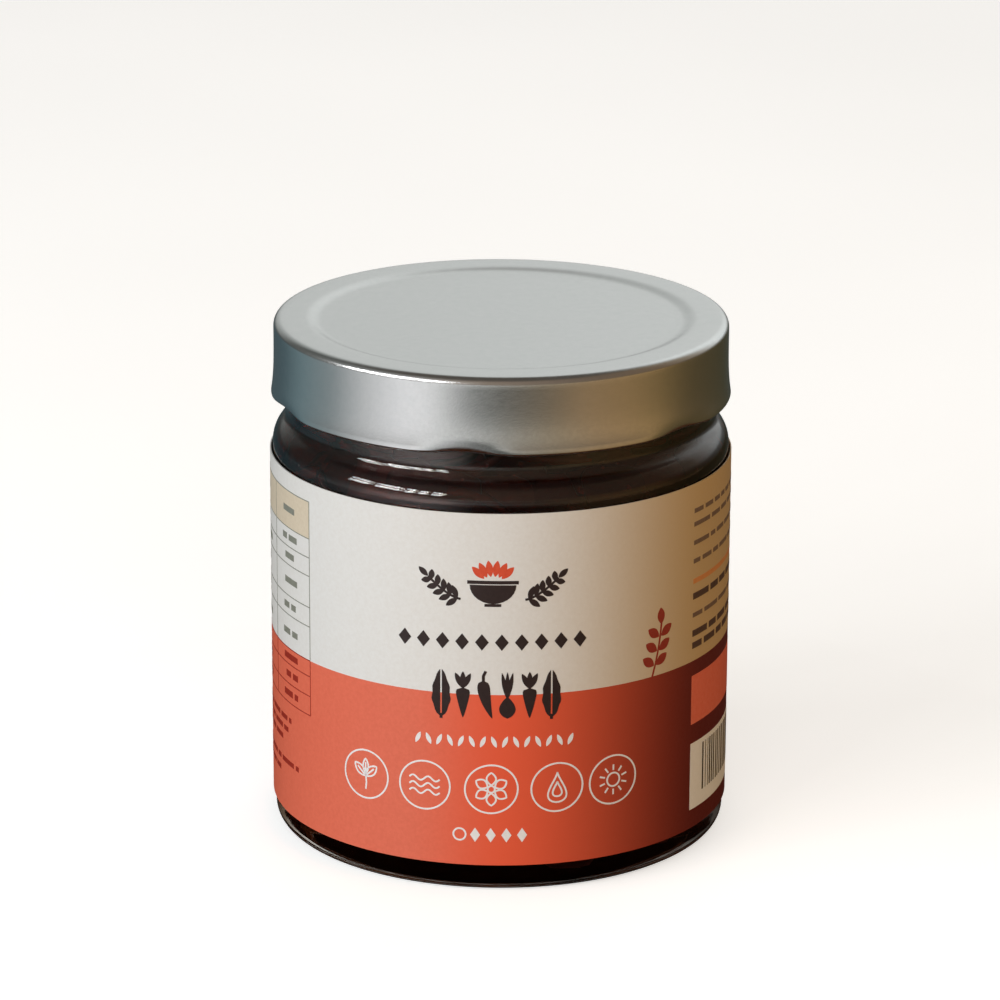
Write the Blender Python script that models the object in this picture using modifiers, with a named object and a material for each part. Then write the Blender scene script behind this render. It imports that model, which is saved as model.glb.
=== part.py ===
"""Kimchi jar: a shut glass jar with a pressed metal twist lid, a paper wrap label and its kimchi.

Metres, +Z up. The origin is on the jar's axis, on the plane that the jar stands on, and the
middle of the label's front faces -Y.
"""

import math
import random

import bpy
import bmesh

# Overall sizes
GLASS_RADIUS = 0.0395
GLASS_WALL = 0.0024
LID_RADIUS = 0.0397
LID_TOP = 0.0908
LID_BOTTOM = 0.0773
FIT_GAP = 0.0003
SIDES = 60

# Glass: base, heel, shoulder, neck and mouth
CONTACT_RING_INNER = 0.0310
HEEL_RADIUS = 0.0027
PUSH_UP_RISE = 0.0018
PUSH_UP_STEPS = 3
FLOOR_AT_WALL = 0.0046
FLOOR_CROWN = 0.0009
FLOOR_STEPS = 2
FLOOR_CORNER_RADIUS = 0.0050
SHOULDER_START = 0.0688
SHOULDER_RADIUS = 0.0065
NECK_RADIUS = 0.0368
NECK_FILLET_RADIUS = 0.0025
MOUTH_TOP = 0.0900

# Lid: one sheet of metal, with a sunken panel and lugs pressed into its curled edge
LID_SHEET = 0.0004
LID_CORNER_RADIUS = 0.0014
PANEL_STEP_OUTER = 0.0338
PANEL_STEP_INNER = 0.0317
PANEL_STEP_DROP = 0.0008
PANEL_STEP_STEPS = 4
CURL_DEPTH = 0.0014
CURL_HEIGHT = 0.0014
CURL_EDGE_RADIUS = 0.0006
LUG_COUNT = 6
LUG_FIRST_DEG = -10.0
LUG_HALF_WIDTH_DEG = 12.5
LUG_PRESS_IN = 0.0009
LUG_PRESS_UP = 0.0004
LUG_PRESS_HEIGHT = 0.0030

# Label: paper, open at the back
LABEL_BOTTOM = 0.0052
LABEL_DIVIDE = 0.0359
LABEL_TOP = 0.0677
LABEL_SHEET = 0.0002
LABEL_GAP_DEG = 12.0

# Kimchi: a core with the pieces that press against the glass fused on
KIMCHI_LEVEL = 0.0805
KIMCHI_EDGE_DROP = 0.0015
KIMCHI_CLEARANCE = 0.00035
KIMCHI_CORE_INSET = 0.0016
KIMCHI_CORE_SIDES = 40
PIECES_SEED = 7
PIECE_EASE = 0.0011
PIECE_THICKNESS = 0.0019
LEAF_SHARE = 0.62
LEAF_ROWS = 2
LEAF_COLUMNS = 3
LEAF_WAVE = 0.0004
LEAF_OUTLINE = (0.8, 1.1)
SHRED_WIDTH = (0.0018, 0.0025)
SHRED_BOW = 0.0016
SHRED_ROWS = 4

# Each band of pieces round the wall: height, how many, and the first one's angle in degrees
WALL_BANDS = ((0.0112, 12, 0.0), (0.0696, 14, 5.0), (0.0750, 13, 14.0))
# Each ring of leaves on the floor: radius and how many
FLOOR_RINGS = ((0.0090, 3), (0.0225, 7))
# The column of pieces behind the label's gap: lowest height, spacing and how many
GAP_COLUMN = (0.0200, 0.0080, 6)

FRONT = math.radians(-90.0)


def clear_scene():
    for obj in list(bpy.data.objects):
        bpy.data.objects.remove(obj, do_unlink=True)


def new_collection(name):
    collection = bpy.data.collections.new(name)
    bpy.context.scene.collection.children.link(collection)
    return collection


def new_material(name, colour, roughness, metallic=0.0, transmission=0.0):
    material = bpy.data.materials.new(name)
    material.use_nodes = True
    shader = material.node_tree.nodes["Principled BSDF"]
    shader.inputs["Base Color"].default_value = (*colour, 1.0)
    shader.inputs["Roughness"].default_value = roughness
    shader.inputs["Metallic"].default_value = metallic
    shader.inputs["Transmission Weight"].default_value = transmission
    return material


def new_object(name, mesh, material, collection):
    obj = bpy.data.objects.new(name, mesh)
    mesh.materials.append(material)
    collection.objects.link(obj)
    return obj


def arc(centre, radius, start_deg, end_deg, steps):
    """Points (r, z) along an arc, both ends included. Angle 0 points outwards and 90 up."""
    points = []
    for step in range(steps + 1):
        angle = math.radians(start_deg + (end_deg - start_deg) * step / steps)
        points.append((centre[0] + radius * math.cos(angle), centre[1] + radius * math.sin(angle)))
    return points


def turned(name, profile, material, collection, sides=SIDES, turn_deg=360.0, start=0.0):
    """A profile of (r, z) points, running down its outer side, turned about the Z axis."""
    mesh = bpy.data.meshes.new(name)
    points = [(r * math.cos(start), r * math.sin(start), z) for r, z in profile]
    edges = [(index, index + 1) for index in range(len(points) - 1)]
    mesh.from_pydata(points, edges, [])
    obj = new_object(name, mesh, material, collection)
    screw = obj.modifiers.new("Turn", "SCREW")
    screw.axis = "Z"
    screw.angle = math.radians(turn_deg)
    screw.steps = sides
    screw.render_steps = sides
    screw.use_merge_vertices = turn_deg == 360.0
    screw.merge_threshold = 0.00001
    return obj


def make_real(obj):
    """Puts the shape that the modifiers give into the object's own mesh."""
    graph = bpy.context.evaluated_depsgraph_get()
    mesh = bpy.data.meshes.new_from_object(obj.evaluated_get(graph))
    obj.modifiers.clear()
    obj.data = mesh
    return mesh


def shade(obj, sharp_deg=35.0):
    obj.data.shade_smooth()
    obj.data.set_sharp_from_angle(angle=math.radians(sharp_deg))


def glass_side(wall):
    """The side at this depth in the glass, from the body up to the neck, as (r, z) points."""
    shoulder_centre = (GLASS_RADIUS - SHOULDER_RADIUS, SHOULDER_START)
    across = NECK_RADIUS + NECK_FILLET_RADIUS - shoulder_centre[0]
    rise = math.sqrt((SHOULDER_RADIUS + NECK_FILLET_RADIUS) ** 2 - across**2)
    fillet_centre = (NECK_RADIUS + NECK_FILLET_RADIUS, SHOULDER_START + rise)
    meeting_deg = math.degrees(math.atan2(rise, across))
    shoulder = arc(shoulder_centre, SHOULDER_RADIUS - wall, 0.0, meeting_deg, 4)
    fillet = arc(fillet_centre, NECK_FILLET_RADIUS + wall, 180.0 + meeting_deg, 180.0, 3)
    return shoulder + fillet[1:]


def flat_floor_radius():
    return GLASS_RADIUS - GLASS_WALL - FLOOR_CORNER_RADIUS


def floor_height(r):
    share = min(r / flat_floor_radius(), 1.0)
    return FLOOR_AT_WALL + FLOOR_CROWN * (1.0 - share**2)


def inner_wall():
    """The inside of the glass, from the edge of the floor up to the neck, as (r, z) points."""
    corner_centre = (flat_floor_radius(), FLOOR_AT_WALL + FLOOR_CORNER_RADIUS)
    return arc(corner_centre, FLOOR_CORNER_RADIUS, -90.0, 0.0, 4) + glass_side(GLASS_WALL)


def inner_radius(z):
    """How far from the axis the inside of the glass is at this height."""
    points = inner_wall()
    for (r_low, z_low), (r_high, z_high) in zip(points, points[1:]):
        if z_low <= z <= z_high and z_high > z_low:
            return r_low + (r_high - r_low) * (z - z_low) / (z_high - z_low)
    return points[-1][0] if z > points[-1][1] else points[0][0]


def build_glass(collection):
    """The jar: one turned solid, from the floor up the inside, over the mouth and down the outside."""
    floor = []
    for step in range(FLOOR_STEPS):
        r = flat_floor_radius() * step / FLOOR_STEPS
        floor.append((r, floor_height(r)))
    rim_radius = GLASS_WALL / 2.0
    rim = arc((NECK_RADIUS - rim_radius, MOUTH_TOP - rim_radius), rim_radius, 180.0, 0.0, 5)
    heel = arc((GLASS_RADIUS - HEEL_RADIUS, HEEL_RADIUS), HEEL_RADIUS, 0.0, -90.0, 4)
    push_up = []
    for step in range(PUSH_UP_STEPS + 1):
        share = 1.0 - step / PUSH_UP_STEPS
        push_up.append((CONTACT_RING_INNER * share, PUSH_UP_RISE * (1.0 - share**2)))
    profile = floor + inner_wall() + rim + glass_side(0.0)[::-1] + heel + push_up
    material = new_material("glass", (0.82, 0.88, 0.86), 0.05, transmission=1.0)
    shade(turned("glass_jar", profile, material, collection))


def panel_step(depth):
    """The step of the lid's top at this depth in the sheet, from the raised rim in to the panel."""
    points = []
    for step in range(PANEL_STEP_STEPS + 1):
        share = step / PANEL_STEP_STEPS
        drop = PANEL_STEP_DROP * (1.0 - math.cos(math.pi * share)) / 2.0
        r = PANEL_STEP_OUTER + (PANEL_STEP_INNER - PANEL_STEP_OUTER) * share
        points.append((r, LID_TOP - depth - drop))
    return points


def lug_weight(angle_deg):
    """1 in the middle of a lug, 0 between the lugs."""
    spacing = 360.0 / LUG_COUNT
    offset = (angle_deg - LUG_FIRST_DEG + spacing / 2.0) % spacing - spacing / 2.0
    if abs(offset) >= LUG_HALF_WIDTH_DEG:
        return 0.0
    return math.cos(math.pi / 2.0 * offset / LUG_HALF_WIDTH_DEG) ** 2


def press_lugs(mesh):
    """Presses the curled edge in and a little up at each lug. Angles are counted from the front."""
    for vertex in mesh.vertices:
        height = (vertex.co.z - LID_BOTTOM) / LUG_PRESS_HEIGHT
        if height >= 1.0:
            continue
        angle = math.atan2(vertex.co.y, vertex.co.x)
        weight = lug_weight(math.degrees(angle - FRONT)) * (1.0 - max(height, 0.0)) ** 2
        radius = math.hypot(vertex.co.x, vertex.co.y) - LUG_PRESS_IN * weight
        vertex.co.x = radius * math.cos(angle)
        vertex.co.y = radius * math.sin(angle)
        vertex.co.z += LUG_PRESS_UP * weight


def build_lid(collection):
    """The lid: a sheet with a sunken panel, a straight skirt and an edge curled inwards."""
    panel_top = LID_TOP - PANEL_STEP_DROP
    corner = (LID_RADIUS - LID_CORNER_RADIUS, LID_TOP - LID_CORNER_RADIUS)
    lug_top = LID_BOTTOM + LUG_PRESS_HEIGHT
    curl_top = LID_BOTTOM + CURL_HEIGHT
    outer = [(0.0, panel_top)] + panel_step(0.0)[::-1]
    outer += arc(corner, LID_CORNER_RADIUS, 90.0, 0.0, 4)
    outer += [(LID_RADIUS, lug_top), (LID_RADIUS, curl_top)]
    edge_centre = (LID_RADIUS - CURL_EDGE_RADIUS, LID_BOTTOM + CURL_EDGE_RADIUS)
    edge = arc(edge_centre, CURL_EDGE_RADIUS, 0.0, -90.0, 3)
    curl = [(LID_RADIUS - CURL_DEPTH, LID_BOTTOM), (LID_RADIUS - CURL_DEPTH, curl_top)]
    inner = [(LID_RADIUS - LID_SHEET, curl_top + LID_SHEET), (LID_RADIUS - LID_SHEET, lug_top)]
    inner += arc(corner, LID_CORNER_RADIUS - LID_SHEET, 0.0, 90.0, 4)
    inner += panel_step(LID_SHEET) + [(0.0, panel_top - LID_SHEET)]
    material = new_material("lid_metal", (0.45, 0.46, 0.45), 0.34, metallic=1.0)
    lid = turned("lid", outer + edge + curl + inner, material, collection)
    press_lugs(make_real(lid))
    shade(lid)


def build_label(collection):
    """The label: a thin wrap with an open gap at the back, cream above and red below."""
    inside = GLASS_RADIUS + FIT_GAP
    profile = [(inside, LABEL_TOP), (inside, LABEL_DIVIDE), (inside, LABEL_BOTTOM)]
    start = FRONT + math.radians(180.0 + LABEL_GAP_DEG / 2.0)
    turn_deg = 360.0 - LABEL_GAP_DEG
    cream = new_material("label_cream", (0.66, 0.62, 0.56), 0.55)
    red = new_material("label_red", (0.58, 0.10, 0.055), 0.55)
    label = turned("label", profile, cream, collection, round(SIDES * turn_deg / 360.0), turn_deg, start)
    label.data.materials.append(red)
    sheet = label.modifiers.new("Paper", "SOLIDIFY")
    sheet.thickness = LABEL_SHEET
    sheet.offset = 1.0
    sheet.use_even_offset = True
    for face in make_real(label).polygons:
        face.material_index = 1 if face.center.z < LABEL_DIVIDE else 0
    shade(label)


def on_wall(angle, z, depth):
    """A point this deep in the kimchi, counted from where it presses against the glass."""
    narrowest = min(inner_radius(z + step * PIECE_EASE) for step in (-1, 0, 1))
    r = narrowest - KIMCHI_CLEARANCE - depth
    return (r * math.cos(angle), r * math.sin(angle), z)


def on_floor(x, y, depth):
    """A point this high in the kimchi, counted from where it rests on the floor of the jar."""
    return (x, y, floor_height(math.hypot(x, y)) + KIMCHI_CLEARANCE + depth)


def turned_flat(x, y, turn):
    return (x * math.cos(turn) - y * math.sin(turn), x * math.sin(turn) + y * math.cos(turn))


def thin_solid(name, rows, columns, point, material, collection):
    """A thin closed solid from point(row, column, side), both faces split into triangles alike."""
    bm = bmesh.new()
    faces = []
    for side in (0, 1):
        grid = []
        for row in range(rows + 1):
            grid.append([bm.verts.new(point(row, column, side)) for column in range(columns + 1)])
        faces.append(grid)
    for grid in faces:
        for row in range(rows):
            for column in range(columns):
                a, b = grid[row][column], grid[row][column + 1]
                c, d = grid[row + 1][column + 1], grid[row + 1][column]
                bm.faces.new((a, b, c))
                bm.faces.new((a, c, d))
    around = [(0, column) for column in range(columns)]
    around += [(row, columns) for row in range(rows)]
    around += [(rows, column) for column in range(columns, 0, -1)]
    around += [(row, 0) for row in range(rows, 0, -1)]
    front, back = faces
    for (r1, c1), (r2, c2) in zip(around, around[1:] + around[:1]):
        bm.faces.new((front[r1][c1], back[r1][c1], back[r2][c2]))
        bm.faces.new((front[r1][c1], back[r2][c2], front[r2][c2]))
    bmesh.ops.recalc_face_normals(bm, faces=bm.faces)
    mesh = bpy.data.meshes.new(name)
    bm.to_mesh(mesh)
    bm.free()
    new_object(name, mesh, material, collection)


def add_leaf(name, width, height, tilt, place, draw, material, collection):
    """A wavy piece of cabbage leaf with an uneven outline, put down by place(x, y, depth)."""
    wave_start = draw.uniform(0.0, 2.0 * math.pi)
    outline = [[draw.uniform(*LEAF_OUTLINE) for _ in range(LEAF_COLUMNS + 1)] for _ in range(LEAF_ROWS + 1)]

    def point(row, column, side):
        share = outline[row][column]
        across = (column / LEAF_COLUMNS - 0.5) * width * share
        up = (row / LEAF_ROWS - 0.5) * height * share
        x, y = turned_flat(across, up, tilt)
        wave = LEAF_WAVE * (1.0 + math.sin(wave_start + row + 1.4 * column)) / 2.0
        return place(x, y, wave + side * PIECE_THICKNESS)

    thin_solid(name, LEAF_ROWS, LEAF_COLUMNS, point, material, collection)


def add_shred(name, length, tilt, place, draw, material, collection):
    """A bowed strip of radish or carrot, put down by place(x, y, depth)."""
    bow = draw.uniform(-SHRED_BOW, SHRED_BOW)
    width = draw.uniform(*SHRED_WIDTH)

    def point(row, column, side):
        share = 2.0 * row / SHRED_ROWS - 1.0
        across = (column - 0.5) * width + bow * (1.0 - share**2)
        x, y = turned_flat(share * length / 2.0, across, tilt)
        return place(x, y, side * PIECE_THICKNESS)

    thin_solid(name, SHRED_ROWS, 1, point, material, collection)


def add_wall_piece(name, angle, z, draw, material, collection):
    """A leaf or a strip pressed against the glass."""

    def place(x, y, depth):
        return on_wall(angle + x / GLASS_RADIUS, z + y, depth)

    tilt = draw.uniform(-0.35, 0.35)
    if draw.random() < LEAF_SHARE:
        width = draw.uniform(0.012, 0.018)
        height = draw.uniform(0.0055, 0.0080)
        add_leaf(name, width, height, tilt, place, draw, material, collection)
    else:
        add_shred(name, draw.uniform(0.012, 0.019), tilt, place, draw, material, collection)


def add_floor_leaf(name, angle, r, draw, material, collection):
    """A leaf lying on the floor of the jar."""

    def place(x, y, depth):
        return on_floor(r * math.cos(angle) + x, r * math.sin(angle) + y, depth)

    width = draw.uniform(0.009, 0.013)
    length = draw.uniform(0.010, 0.015)
    add_leaf(name, width, length, draw.uniform(0.0, math.pi), place, draw, material, collection)


def scatter_pieces(material, collection):
    """Pieces where the glass shows them: above and below the label, in its gap and on the floor."""
    draw = random.Random(PIECES_SEED)
    sway = math.radians(4.0)
    for band, (height, count, first_deg) in enumerate(WALL_BANDS):
        for step in range(count):
            angle = math.radians(first_deg + 360.0 * step / count) + draw.uniform(-sway, sway)
            z = height + draw.uniform(-0.0010, 0.0010)
            add_wall_piece(f"band_{band}_{step}", angle, z, draw, material, collection)
    lowest, spacing, count = GAP_COLUMN
    for step in range(count):
        angle = FRONT + math.pi + draw.uniform(-sway, sway)
        add_wall_piece(f"gap_{step}", angle, lowest + spacing * step, draw, material, collection)
    for ring, (r, count) in enumerate(FLOOR_RINGS):
        for step in range(count):
            angle = 2.0 * math.pi * (step + draw.uniform(-0.15, 0.15)) / count
            add_floor_leaf(f"floor_{ring}_{step}", angle, r, draw, material, collection)


def keep_outer_body(mesh):
    """Fills the hollows that fusing sealed, and drops loose scraps: only the largest shell stays."""
    bm = bmesh.new()
    bm.from_mesh(mesh)
    left = set(bm.verts)
    shells = []
    while left:
        reached = [left.pop()]
        shell = set(reached)
        while reached:
            vertex = reached.pop()
            new = {edge.other_vert(vertex) for edge in vertex.link_edges} - shell
            shell |= new
            reached.extend(new)
        left -= shell
        shells.append(shell)
    largest = max(shells, key=len)
    loose = [vertex for vertex in bm.verts if vertex not in largest]
    bmesh.ops.delete(bm, geom=loose, context="VERTS")
    bm.to_mesh(mesh)
    bm.free()


def build_kimchi(collection):
    """The kimchi: a core inside the glass, with the pieces that show fused on."""
    inset = KIMCHI_CLEARANCE + KIMCHI_CORE_INSET
    neck = NECK_RADIUS - GLASS_WALL - inset
    edge = (neck - KIMCHI_EDGE_DROP, KIMCHI_LEVEL)
    top = [(0.0, KIMCHI_LEVEL), edge, (neck, KIMCHI_LEVEL - KIMCHI_EDGE_DROP)]
    side = [(r - inset, z) for r, z in glass_side(GLASS_WALL)[::-1]]
    corner_centre = (flat_floor_radius(), FLOOR_AT_WALL + FLOOR_CORNER_RADIUS)
    corner = arc(corner_centre, FLOOR_CORNER_RADIUS - inset, 0.0, -90.0, 3)
    bottom = [(0.0, floor_height(0.0) + inset)]
    material = new_material("kimchi", (0.16, 0.035, 0.018), 0.35)
    kimchi = turned("kimchi", top + side + corner + bottom, material, collection, KIMCHI_CORE_SIDES)
    pieces = new_collection("kimchi_pieces")
    scatter_pieces(material, pieces)
    fuse = kimchi.modifiers.new("Fuse", "BOOLEAN")
    fuse.operation = "UNION"
    fuse.operand_type = "COLLECTION"
    fuse.collection = pieces
    fuse.solver = "MANIFOLD"
    keep_outer_body(make_real(kimchi))
    for piece in list(pieces.objects):
        bpy.data.objects.remove(piece, do_unlink=True)
    bpy.data.collections.remove(pieces)
    shade(kimchi, 50.0)


def main():
    clear_scene()
    jar = new_collection("kimchi jar")
    build_glass(jar)
    build_lid(jar)
    build_label(jar)
    build_kimchi(jar)


main()
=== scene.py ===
"""Looks of the kimchi jar: clear glass, satin metal lid, printed paper label, kimchi in its brine.

Metres, +Z up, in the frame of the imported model. The middle of the label's front faces -Y. Places
on the label are given as degrees round the jar from there, positive towards +X, and as heights.
"""

import math
import random

import bpy
import bmesh
from mathutils import Matrix, Vector, noise


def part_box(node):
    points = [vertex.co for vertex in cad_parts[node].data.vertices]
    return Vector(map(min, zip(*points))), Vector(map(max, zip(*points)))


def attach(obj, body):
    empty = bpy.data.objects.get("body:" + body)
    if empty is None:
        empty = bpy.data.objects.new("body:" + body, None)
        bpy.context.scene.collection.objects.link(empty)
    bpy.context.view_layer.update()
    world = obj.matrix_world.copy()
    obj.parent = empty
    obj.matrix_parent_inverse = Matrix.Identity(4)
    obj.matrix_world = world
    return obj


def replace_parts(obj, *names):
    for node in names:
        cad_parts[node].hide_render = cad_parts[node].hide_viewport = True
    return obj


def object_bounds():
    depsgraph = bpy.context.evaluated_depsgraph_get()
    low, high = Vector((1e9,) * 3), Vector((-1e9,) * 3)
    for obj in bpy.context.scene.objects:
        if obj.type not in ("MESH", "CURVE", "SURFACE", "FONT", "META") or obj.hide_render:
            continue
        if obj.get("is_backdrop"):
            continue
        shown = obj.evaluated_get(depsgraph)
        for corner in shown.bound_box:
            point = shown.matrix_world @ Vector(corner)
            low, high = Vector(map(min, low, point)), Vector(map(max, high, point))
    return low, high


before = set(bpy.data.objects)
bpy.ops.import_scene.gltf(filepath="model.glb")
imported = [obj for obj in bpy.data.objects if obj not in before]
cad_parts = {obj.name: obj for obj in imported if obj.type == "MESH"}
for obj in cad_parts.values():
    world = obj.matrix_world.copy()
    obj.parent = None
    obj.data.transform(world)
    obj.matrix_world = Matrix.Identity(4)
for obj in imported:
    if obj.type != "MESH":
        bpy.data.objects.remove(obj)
cad_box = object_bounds()

MM = 0.001
ON_AXIS = 1e-7  # nearer counts as on it

# Sizes read from the frame
LID_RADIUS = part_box("lid")[1].x
LID_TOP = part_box("lid")[1].z
LID_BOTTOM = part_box("lid")[0].z
GLASS_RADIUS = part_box("glass_jar")[1].x
MOUTH_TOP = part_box("glass_jar")[1].z
LABEL_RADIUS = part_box("label")[1].x
LABEL_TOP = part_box("label")[1].z
LABEL_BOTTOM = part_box("label")[0].z
KIMCHI_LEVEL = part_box("kimchi")[1].z

# Glass
GLASS_WALL = 2.4 * MM
CONTACT_RING_INNER = 31.0 * MM
HEEL_RADIUS = 2.7 * MM
PUSH_UP_RISE = 1.8 * MM
FLOOR_AT_WALL = 4.6 * MM
FLOOR_CROWN = 0.9 * MM
FLOOR_CORNER_RADIUS = 5.0 * MM
FLOOR_FLAT_RADIUS = GLASS_RADIUS - GLASS_WALL - FLOOR_CORNER_RADIUS
FLOOR_CORNER_CENTRE = (FLOOR_FLAT_RADIUS, FLOOR_AT_WALL + FLOOR_CORNER_RADIUS)
SHOULDER_START = 68.8 * MM
SHOULDER_RADIUS = 5.0 * MM
NECK_RADIUS = 36.8 * MM
NECK_FILLET_RADIUS = 2.5 * MM
GLASS_SIDES = 180
GLASS_STEP = 6.0 * MM

# Lid
LID_SHEET = 0.4 * MM
LID_CORNER_RADIUS = 1.4 * MM
PANEL_STEP_OUTER = 33.8 * MM
PANEL_STEP_INNER = 31.0 * MM
PANEL_STEP_DROP = 0.6 * MM
SKIRT_LEAN = 0.5 * MM
CURL_DEPTH = 1.4 * MM
CURL_HEIGHT = 1.4 * MM
CURL_EDGE_RADIUS = 0.6 * MM
LUG_COUNT = 6
LUG_FIRST_DEG = -9.0
LUG_HALF_WIDTH_DEG = 14.0
LUG_PRESS_IN = 0.9 * MM
LUG_PRESS_UP = 0.4 * MM
LUG_PRESS_HEIGHT = 3.0 * MM
LID_SIDES = 240
LID_STEP = 1.2 * MM

# Label and print
LABEL_SHEET = 0.2 * MM
LABEL_DIVIDE = 35.9 * MM
LABEL_GAP_DEG = 12.0
LABEL_SIDES = 232
LABEL_STEP = 8.0 * MM
PRINT_STEP = 1.0 * MM
FIELD_PROUD = 0.02 * MM
MARK_PROUD = 0.04 * MM
PRINT_SUNK = 0.02 * MM

# Places of the print, in degrees round the jar and in heights
ART_CENTRE_DEG = -1.7
EMBLEM_Z = 55.3 * MM
DIAMOND_ROW_Z = 45.2 * MM
DIAMOND_ROW_DEG = (-23.4, 19.6)
VEGETABLE_ROW_Z = 31.7 * MM
VEGETABLE_ROW_DEG = (-14.2, 12.6)
VEGETABLE_HEIGHT = 8.4 * MM
SEED_ROW_Z = 27.5 * MM
SEED_ROW_DEG = (-20.0, 17.4)
RING_ROW_Z = 19.0 * MM
RING_ROW_DEG = (-34.5, -18.4, -1.9, 14.2, 28.9)
RING_RADIUS = 4.4 * MM
PEN_LINE = 0.3 * MM
WEIGHT_ROW_Z = 10.7 * MM
WEIGHT_ROW_DEG = (-9.6, 5.6)
TABLE_RIGHT_DEG = -54.0
TABLE_LEFT_DEG = -103.0
TABLE_COLUMN_DEG = -74.0
TABLE_ROWS_MM = (64.4, 57.8, 54.4, 51.1, 45.5, 42.0, 35.9, 33.0, 29.4, 25.9)
TABLE_LINE = 0.16 * MM
TABLE_BAR = 1.1 * MM
TABLE_VALUE_DEG = (-66.5, -60.0)
TABLE_NOTES_MM = (22.6, 20.6, 18.6, 14.6, 12.4)
TABLE_NOTE_ENDS_DEG = (-64.0, -66.0, -70.0, -60.0, -72.0)
NOTE_BAR = 0.9 * MM
SIDE_TEXT_DEG = (55.2, 108.0)
SIDE_LINES_MM = (62.9, 60.5, 57.2, 53.9, 47.6, 44.2, 40.9, 38.7)
BOLD_LINES = (4, 6, 7)
BOLD_BAR = 1.15 * MM
THIN_BAR = 0.8 * MM
RULE_Z = 50.3 * MM
RULE_HEIGHT = 0.9 * MM
PALE_BOX_MM = (24.3, 33.2)
CODE_BOX_MM = (8.6, 20.8)
CODE_BOX_DEG = (55.2, 104.0)
CODE_BARS_DEG = (61.2, 99.0)
CODE_BAR_WIDTHS_DEG = (0.35, 0.35, 0.7, 1.05)
CODE_BAR_GAPS_DEG = (0.4, 0.7, 1.05)
CODE_BAR_FOOT = 2.6 * MM
CODE_BAR_HEAD = 0.9 * MM
SPRIG_DEG = 44.5
PRINT_SEED = 5

# Kimchi and brine
BRINE_REACH = 0.08 * MM
BRINE_DROP = 0.5 * MM
BRINE_ABSORPTION = 620.0
PIECE_CLEARANCE = 0.35 * MM
CORE_INSET = 2.6 * MM
CORE_LUMPS = 0.9 * MM
CORE_SIDES = 120
CORE_STEP = 1.6 * MM
CORE_DROP = 1.5 * MM
PIECES_SEED = 11

# Painted shade: a dark disc for the shaded table close round the jar, seen only in the glass
TABLE_SPOT_RADIUS = 110.0 * MM
TABLE_SPOT_DEPTH = 0.5 * MM
TABLE_SPOT_RIM = 22.0 * MM

# Lights, with places in degrees round the jar and up from the horizon
LIGHT_DISTANCE = 1.4
WINDOW_COLOUR = (0.97, 0.985, 1.0)
WINDOW_ROWS = ((15.0, 5.5), (23.0, 4.0))  # elevation, height
WINDOW_PANES = (  # azimuth, width, radiance
    (-75.0, 12.0, 10.0),
    (-57.5, 12.5, 13.5),
    (-45.5, 4.5, 14.0),
    (-38.5, 3.6, 14.0),
    (-31.0, 4.5, 11.5),
)
FILL_SHAPE_DEG = (22.0, 40.0, 30.0)  # elevation, width, height
FILLS = (  # azimuth, radiance, colour
    (-48.0, 1.75, (0.99, 0.985, 1.0)),
    (-2.0, 2.1, (0.83, 0.91, 1.0)),
    (52.0, 1.75, (1.0, 0.55, 0.12)),
)

# Colours of the room by degrees round the jar. The table's left side is the same near and far.
ROOM_LEFT = (
    (-180, 0.05, 0.07, 0.075),
    (-140, 0.06, 0.095, 0.11),
    (-118, 0.14, 0.21, 0.23),
    (-92, 0.22, 0.26, 0.27),
    (-72, 0.56, 0.57, 0.58),
    (-48, 0.92, 0.92, 0.94),
)
ROOM_NEAR_TABLE = (
    (-35, 0.88, 0.88, 0.89),
    (-25, 0.44, 0.45, 0.45),
    (-14, 0.07, 0.075, 0.07),
    (2, 0.035, 0.035, 0.03),
    (24, 0.10, 0.075, 0.05),
    (42, 0.25, 0.16, 0.08),
    (66, 0.24, 0.15, 0.065),
    (88, 0.15, 0.10, 0.04),
    (112, 0.075, 0.055, 0.025),
    (150, 0.05, 0.045, 0.025),
    (180, 0.05, 0.07, 0.075),
)
ROOM_ABOVE = (
    (-180, 0.62, 0.64, 0.63),
    (-156, 0.36, 0.38, 0.37),
    (-130, 0.08, 0.085, 0.08),
    (-90, 0.14, 0.145, 0.14),
    (-50, 0.22, 0.21, 0.20),
    (-20, 0.24, 0.19, 0.15),
    (10, 0.22, 0.17, 0.13),
    (50, 0.15, 0.11, 0.08),
    (90, 0.16, 0.11, 0.07),
    (115, 0.26, 0.22, 0.17),
    (140, 0.82, 0.86, 0.86),
    (160, 0.80, 0.83, 0.82),
    (180, 0.62, 0.64, 0.63),
)
ROOM_FAR_TABLE = (
    (-25, 0.90, 0.91, 0.90),
    (-10, 0.74, 0.76, 0.74),
    (4, 0.52, 0.50, 0.44),
    (24, 0.46, 0.38, 0.26),
    (50, 0.44, 0.29, 0.15),
    (80, 0.40, 0.25, 0.10),
    (100, 0.12, 0.08, 0.035),
    (150, 0.05, 0.045, 0.025),
    (180, 0.05, 0.07, 0.075),
)

# Where the room changes, in degrees up from the horizon
FAR_TABLE_FROM = (-15.5, -9.0)
ABOVE_FROM = (-8.0, 6.0)
CEILING_FROM = (42.0, 66.0)
UNDER_JAR_FROM = (-38.0, -60.0)
CEILING = (0.08, 0.07, 0.06, 1.0)
UNDER_JAR = (0.03, 0.02, 0.015, 1.0)
TABLE_EDGE = (0.03, 0.025, 0.02, 1.0)
TABLE_EDGE_BELOW = 1.0
TABLE_EDGE_FADE = (6.0, 1.0)
TABLE_EDGE_SHARE = 0.55

# Camera: fitted to the photograph
FOCAL_LENGTH_MM = 166.21
CAMERA_PLACE = (-0.00008, -0.7663, 0.3016)
CAMERA_DOWN_DEG = 17.674
CAMERA_ROLL_DEG = 0.265


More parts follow.
